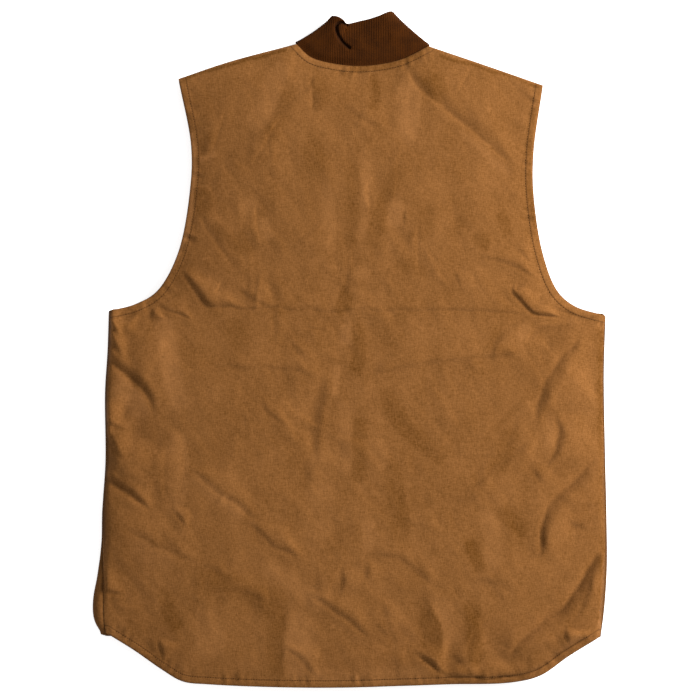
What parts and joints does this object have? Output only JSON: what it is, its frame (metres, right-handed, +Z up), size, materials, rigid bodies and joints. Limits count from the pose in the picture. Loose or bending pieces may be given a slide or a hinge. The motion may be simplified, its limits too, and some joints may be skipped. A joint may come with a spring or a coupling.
{
  "type": "canvas vest",
  "caption": "Brown duck-canvas work vest with a rib-knit stand collar, shirt-tail hem and front zip, lying flat with its back up.",
  "frame": {"origin": "centre of the vest's plan box, on the surface that it lies on", "axes": "+Y from the hem to the neck, +X to the right seen from above with the neck up, +Z up out of the surface"},
  "size_m": [0.6022, 0.791, 0.0353],
  "materials": {
    "canvas": "matt plain-woven duck canvas, brown",
    "rib_knit": "matt rib knit, dark brown",
    "zip": "woven zip tape with a plastic chain, dark brown"
  },
  "bodies": {
    "root": {"back_panel": "canvas", "front_panel_left": "canvas", "front_panel_right": "canvas", "collar": "rib_knit", "front_zip": "zip"}
  },
  "joints": []
}
